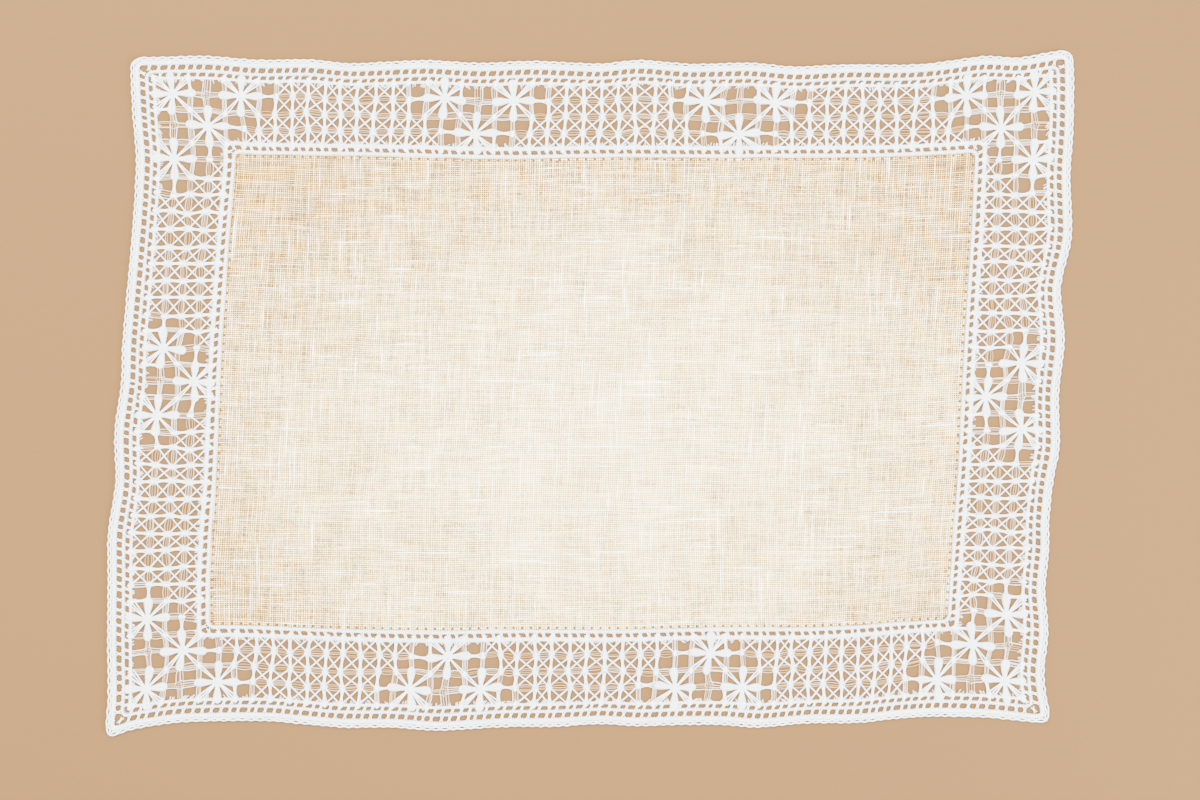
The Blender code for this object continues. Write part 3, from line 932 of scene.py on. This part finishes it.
class LACEMAT_OT_crossings(bpy.types.Operator):
    """Work the diagonals of the crossed ground and its knots"""

    bl_idname = "lace_mat.crossings"
    bl_label = "Crossings and Knots"

    def diagonals(self, nodes, half, rng):
        """Two threads across each cell of the ground, one over the other, bowed by half a sine."""
        cells = np.array([cell for cell, kind in KINDS.items() if kind == "ground"])
        parts = []
        for start_step, end_step, lift in (((0, 0), (1, 1), 0.85 * MM), ((1, 0), (0, 1), 1.0 * MM)):
            start, end = read(nodes, cells + start_step), read(nodes, cells + end_step)
            line, share = between(start, end, steps=5)
            bow = rng.normal(0.0, 0.1 * MM / CELL, (len(cells), 1)) * np.sin(np.pi * share)
            across = square_to(line[:, 0], line[:, -1])
            path = place(line + across[:, None] * bow[..., None], lift)
            thick = half * rng.uniform(0.88, 1.12, (len(cells), 1))
            parts.append(strands(path, thick, FLATNESS * thick))
        return parts

    def knots(self, nodes, rng):
        """Long lumps over the bars, each bound by three stitches, at every crossing that touches ground or
        rays and is no flower or petal's tip."""
        places, upright = [], []
        for column in range(COLUMNS + 1):
            for row in range(ROWS + 1):
                around = [cell for cell in cells_round(column, row) if cell in KINDS]
                worked = {KINDS[cell] for cell in around} - {"open"}
                if worked and (column, row) not in FLOWERS and (column, row) not in TIPS:
                    places.append((column, row))
                    upright.append(runs_across(around[0]))
        centre = read(nodes, np.array(places))
        long_way = np.where(np.array(upright)[:, None], (0.0, 1.0), (1.0, 0.0))
        short_way = long_way[:, ::-1]
        parts = [lumps(centre, long_way, half_long=1.7 * MM, half_wide=1.0 * MM, half_high=0.42 * MM,
                       lift=0.68 * MM)]
        for slip in (-0.85, 0.0, 0.85):
            offset = (slip + rng.normal(0.0, 0.12, (len(centre), 1))) * MM / CELL
            reach = rng.uniform(1.1, 1.4) * MM
            parts.append(lumps(centre + long_way * offset, short_way, half_long=reach, half_wide=0.36 * MM,
                               half_high=0.38 * MM, lift=0.82 * MM, steps=4, sides=4))
        return parts

    def execute(self, context):
        settings, rng = begin(context, "diagonals")
        nodes = crossings(settings.uneven)
        parts = self.diagonals(nodes, settings.cross_thread, rng)
        thread_piece("net_diagonals", parts, cotton(settings), "lace_cotton")
        thread_piece("net_knots", self.knots(nodes, rng), cotton(settings), "lace_cotton")
        return {"FINISHED"}


class LACEMAT_OT_flowers(bpy.types.Operator):
    """Work the flowers: woven petals, rays and a round middle"""

    bl_idname = "lace_mat.flowers"
    bl_label = "Flowers"

    def petals(self, settings, centre, direction, rng):
        """A leaf woven row by row in two lanes, one lane half a row behind the other. At t along the petal
        its half width is a neck that swells with sin^3 and closes in a round tip."""
        rows = np.linspace(0.2, 0.94, 12)
        across = np.stack((-direction[:, 1], direction[:, 0]), axis=-1)
        n = len(centre)
        reach = settings.petal_long * rng.uniform(0.94, 1.04, (n, 1))
        lean = rng.normal(0.0, 0.3 * MM, (n, 1))
        wide = settings.petal_wide / 2.0 * rng.uniform(0.93, 1.07, (n, 1))
        neck = 0.42        # half width where a petal starts, of its widest
        tip_start = 0.84   # where its round tip begins
        swell_span = 1.55  # half a sine over this swells it, so that it is widest at 0.78

        def half_width(t):
            """Share of the petal's half width at t."""
            into_tip = np.clip(t - tip_start, 0.0, 1.0) / (1.0 - tip_start)
            tip = np.sqrt(np.clip(1.0 - into_tip ** 2, 0.0, 1.0))
            swell = np.sin(np.clip(t / swell_span, 0.0, 1.0) * np.pi) ** 3
            return (neck + (1.0 - neck) * swell) * tip

        def grid_at(t, out):
            """Grid places at t along and out to the side, the petal leaning by t^2."""
            side = (out + lean * t ** 2) / CELL
            return beside(centre, direction, across, t * reach / CELL, side)

        t = np.concatenate((np.linspace(0.0, 0.8, 9), (0.86, 0.91, 0.95, 0.98, 0.995)))
        # Painted shade: the leaf under the stitches leans to the cotton's shade colour, so the slit between
        # its lanes shows darker.
        leaf = place(grid_at(t[None], np.zeros((n, 1))), 0.6 * MM)
        parts = [strands(leaf, wide * half_width(t), 0.3 * MM, tone=0.6, sides=8)]
        share = np.linspace(0.0, 1.0, 4)
        for row in rows:
            for hand in (-1.0, 1.0):
                start = row + (0.25 - 0.25 * hand) * (rows[1] - rows[0])
                back = start - 0.012 * share + rng.normal(0.0, 0.004, (n, 1))
                out = hand * wide * half_width(start) * (0.8 * share + 0.06 * rng.random((n, 1)))
                height = (0.7 + 0.28 * np.sin(np.pi * (0.1 + 0.8 * share))) * MM
                thick = 0.38 * MM * np.sqrt(1.0 - (TAPER * share) ** 2) * rng.uniform(*STITCH_RANGE, (n, 1))
                parts.append(strands(place(grid_at(back, out), height), thick, FLATNESS * thick))
        return parts

    def rays(self, centre, corner, spots, spread, half, rng):
        """Threads from the middle to a corner knot, in a fan that opens to spread each way."""
        line, share = between(centre, corner, steps=5)
        across = square_to(centre, corner)
        parts = []
        for spot in spots:
            fan = spot * spread * rng.uniform(*REACH_RANGE, (len(centre), 1)) / CELL
            path = place(line + across[:, None] * (fan * share)[..., None], 0.8 * MM)
            thick = half * rng.uniform(*THREAD_RANGE, (len(centre), 1))
            parts.append(strands(path, thick, thick))
        return parts

    def middles(self, centre, radius):
        """Round middles: a low lump, and over it a thread that winds out in three and a half turns from
        0.12 to 1.02 of the radius and sinks with the turn squared."""
        level = np.tile((1.0, 0.0), (len(centre), 1))
        lump = lumps(centre, level, half_long=radius, half_wide=radius, half_high=0.5 * MM, lift=0.72 * MM,
                     steps=9, sides=12)
        turn = np.linspace(0.0, 1.0, 41)
        angle = 7.0 * np.pi * turn
        reach = radius * (0.12 + 0.9 * turn) / CELL
        spiral = np.stack((np.cos(angle), np.sin(angle)), axis=-1) * reach[:, None]
        path = place(centre[:, None] + spiral[None], (1.28 - 0.35 * turn ** 2) * MM)
        return [lump, strands(path, 0.29 * MM, 0.25 * MM)]

    def execute(self, context):
        settings, rng = begin(context, "flowers")
        nodes = crossings(settings.uneven)
        index = np.array(FLOWERS)
        centre = read(nodes, index)
        petals, rays = [], []
        for step in STEPS:
            way = read(nodes, index + step) - centre
            petals += self.petals(settings, centre, way / np.linalg.norm(way, axis=1, keepdims=True), rng)
        half = settings.ray_thread
        for step in SLANTS:
            knot = read(nodes, index + step)
            wide = np.array([is_at_ladder(tuple(node)) for node in index + step])
            rays += self.rays(centre[wide], knot[wide], (-1.0, 0.0, 1.0), 1.45 * MM, half, rng)
            rays += self.rays(centre[~wide], knot[~wide], (-1.0, 1.0), 0.75 * MM, half, rng)
        rays += self.middles(centre, settings.eye)
        thread_piece("net_petals", petals, cotton(settings), "lace_cotton")
        thread_piece("net_rays", rays, cotton(settings), "lace_cotton")
        return {"FINISHED"}


class LACEMAT_OT_heading(bpy.types.Operator):
    """Work the outer ladder with its two rows of holes"""

    bl_idname = "lace_mat.heading"
    bl_label = "Outer Ladder"

    def execute(self, context):
        settings, rng = begin(context, "heading")
        parts = rungs(OUTER_HOLES, OUTER_CORNER, half_long=1.35 * MM, waist=0.2 * MM, flare=0.5 * MM,
                      half=0.3 * MM, lift=0.75 * MM, lean=0.25 * MM, rng=rng)
        parts += rungs(INNER_HOLES, INNER_CORNER, half_long=1.3 * MM, waist=0.22 * MM, flare=0.5 * MM,
                       half=0.3 * MM, lift=0.7 * MM, lean=0.35 * MM, rng=rng)
        rib = (OUTER_HOLES + INNER_HOLES) / 2.0
        parts += ladder_rib(rib, OUTER_CORNER, backing=0.5 * MM, pitch=0.8 * MM, half_long=0.56 * MM,
                            slant=0.3 * MM, half=0.37 * MM, lift=0.65 * MM, rng=rng)
        parts += ladder_rib(NET_OUTER + 0.01, INNER_CORNER, backing=0.6 * MM, pitch=0.85 * MM,
                            half_long=0.64 * MM, slant=-0.3 * MM, half=0.37 * MM, lift=0.65 * MM, rng=rng)
        # A loose thread runs through the inner row of holes.
        parts.append(cord_round(INNER_HOLES - 0.13, INNER_CORNER, half_wide=0.11 * MM, half_high=0.11 * MM,
                                lift=0.6 * MM, pitch=0.3, wander=0.08 * MM, rng=rng, tone=0.3))
        thread_piece("outer_ladder_stitches", parts, cotton(settings), "lace_cotton", "outer_ladder")
        return {"FINISHED"}


class LACEMAT_OT_footing(bpy.types.Operator):
    """Work the inner ladder that joins the net to the linen"""

    bl_idname = "lace_mat.footing"
    bl_label = "Inner Ladder"

    def execute(self, context):
        settings, rng = begin(context, "footing")
        parts = rungs(FOOTING, INNER_CORNER, half_long=1.25 * MM, waist=0.25 * MM, flare=0.45 * MM,
                      half=0.31 * MM, lift=0.7 * MM, lean=-0.3 * MM, rng=rng)
        parts += ladder_rib(NET_INNER - 0.075, INNER_CORNER, backing=0.85 * MM, pitch=0.85 * MM,
                            half_long=0.95 * MM, slant=0.35 * MM, half=0.37 * MM, lift=0.6 * MM, rng=rng)
        seam = (FOOTING + LINEN) / 2.0 + 0.06
        parts += ladder_rib(seam, INNER_CORNER, backing=0.65 * MM, pitch=0.8 * MM, half_long=0.8 * MM,
                            slant=-0.25 * MM, half=0.35 * MM, lift=0.65 * MM, rng=rng)
        thread_piece("inner_ladder_stitches", parts, cotton(settings), "lace_cotton", "inner_ladder")
        return {"FINISHED"}


class LACEMAT_OT_edge(bpy.types.Operator):
    """Crochet the mat's outer edge with its chain line"""

    bl_idname = "lace_mat.edge"
    bl_label = "Crocheted Edge"

    def chain(self, rng):
        """Links of a chain lying on their side: two legs each, their offset from the chain's line
        +-(0.34 + 0.36 * sin(pi t)^3) mm, so that a narrow slit stands open between them."""
        spot, normal = ring(CHAIN, OUTER_CORNER, 1.0 / HOLES_A_CELL)
        after, normal_after = np.roll(spot, -1, axis=0), np.roll(normal, -1, axis=0)
        line, share = between(spot, after, steps=6)
        facing = normal[:, None] + (normal_after - normal)[:, None] * share[None, :, None]
        parts = []
        for hand in (-1.0, 1.0):
            gap = hand * (0.34 + 0.36 * np.sin(np.pi * share) ** 3) * MM
            offset = gap * rng.uniform(*REACH_RANGE, (len(spot), 1)) / CELL
            path = place(line + facing * offset[..., None], 1.1 * MM)
            thick = 0.38 * MM * rng.uniform(*STITCH_RANGE, (len(spot), 1))
            parts.append(strands(path, thick, thick))
        return parts

    def execute(self, context):
        settings, rng = begin(context, "edge")
        inner = OUTER_HOLES - 1.2 * MM / CELL
        outer = CHAIN + 0.7 * MM / CELL
        row = (inner + outer) / 2.0
        reach = (inner - outer) / 2.0 * CELL
        parts = [cord_round(row, RIM_CORNER, half_wide=reach - 0.2 * MM, half_high=0.35 * MM, lift=0.7 * MM),
                 stitches(row, RIM_CORNER, pitch=0.72 * MM, half_long=reach, slant=0.22 * MM, half=0.35 * MM,
                          lift=0.85 * MM, rise=0.3 * MM, rng=rng, uneven=0.08)]
        parts += self.chain(rng)
        thread_piece("crochet_rim", parts, cotton(settings, "crochet_cotton"), "edge_cotton", "crochet_edge")
        return {"FINISHED"}


class LACEMAT_OT_declare(bpy.types.Operator):
    bl_idname = "lace_mat.declare"
    bl_label = "Declare the Sheet"

    def execute(self, context):
        return {"FINISHED"}


class LACEMAT_OT_stage(bpy.types.Operator):
    """Set the floor, the soft light and the camera"""

    bl_idname = "lace_mat.stage"
    bl_label = "Stage"

    def light(self, name, power, size, spot, turn):
        """A square area light, its turn in degrees."""
        data = bpy.data.lights.new(name, "AREA")
        data.energy = power
        data.size = size
        lamp = bpy.data.objects.new(name, data)
        lamp.location = spot
        lamp.rotation_euler = np.radians(turn)
        bpy.context.scene.collection.objects.link(lamp)

    def execute(self, context):
        settings = context.scene.mat_stage
        half, below = 3.0, -0.1 * MM
        floor_mesh = bpy.data.meshes.new("floor")
        points = np.array([(x * half, y * half, below) for x, y in ((-1, -1), (1, -1), (1, 1), (-1, 1))])
        fill_mesh(floor_mesh, points, np.arange(4), np.array((4,)))
        floor_mesh.materials.append(plain_material("painted_board", settings.floor_colour, 0.9))
        floor = bpy.data.objects.new("floor", floor_mesh)
        context.scene.collection.objects.link(floor)

        data = bpy.data.cameras.new("camera")
        data.lens = settings.lens
        data.clip_end = 20.0
        camera = bpy.data.objects.new("camera", data)
        distance = settings.field * data.lens / data.sensor_width
        camera.location = (settings.aim_x, -settings.aim_y, distance)
        context.scene.collection.objects.link(camera)
        context.scene.camera = camera

        self.light("key", settings.key, size=1.4, spot=(-0.35, 0.45, 1.3), turn=(-18.0, -14.0, 0.0))
        self.light("side", settings.side, size=0.8, spot=(1.1, -0.5, 0.7), turn=(32.0, 52.0, 0.0))
        world = bpy.data.worlds.new("soft_surroundings")
        world.use_nodes = True
        background = world.node_tree.nodes["Background"]
        background.inputs["Color"].default_value = (1.0, 1.0, 1.0, 1.0)
        background.inputs["Strength"].default_value = settings.sky
        context.scene.world = world
        return {"FINISHED"}


class LACEMAT_PT_panel(bpy.types.Panel):
    """Sidebar panel of the lace mat"""

    bl_idname = "LACEMAT_PT_panel"
    bl_label = "Lace Mat"
    bl_space_type = "VIEW_3D"
    bl_region_type = "UI"
    bl_category = "Lace Mat"

    def draw(self, context):
        for group, operators in GROUPS:
            box = self.layout.box()
            settings = getattr(context.scene, group)
            for key in settings.__annotations__:
                box.prop(settings, key)
            for operator in operators:
                box.operator(operator.bl_idname)


GROUPS = (
    ("mat_linen", (LACEMAT_OT_linen,)),
    ("mat_lace", (LACEMAT_OT_ground, LACEMAT_OT_crossings, LACEMAT_OT_flowers, LACEMAT_OT_heading,
                  LACEMAT_OT_footing, LACEMAT_OT_edge, LACEMAT_OT_declare)),
    ("mat_stage", (LACEMAT_OT_stage,)),
)
SETTINGS = {"mat_linen": LinenSettings, "mat_lace": LaceSettings, "mat_stage": StageSettings}
OPERATORS = tuple(operator for _, operators in GROUPS for operator in operators)
CLASSES = (*SETTINGS.values(), *OPERATORS, LACEMAT_PT_panel)


def register():
    """Add the settings, the operators and the panel."""
    for made in CLASSES:
        bpy.utils.register_class(made)
    for name, group in SETTINGS.items():
        setattr(bpy.types.Scene, name, bpy.props.PointerProperty(type=group))


def unregister():
    """Take them away again."""
    for name in SETTINGS:
        delattr(bpy.types.Scene, name)
    for made in reversed(CLASSES):
        bpy.utils.unregister_class(made)


def main():
    """Build everything in order."""
    register()
    for old in [o for o in bpy.data.objects if o.type in ("LIGHT", "CAMERA")]:
        bpy.data.objects.remove(old)
    for operator in OPERATORS:
        module, name = operator.bl_idname.split(".")
        getattr(getattr(bpy.ops, module), name)()


if __name__ == "__main__":
    main()
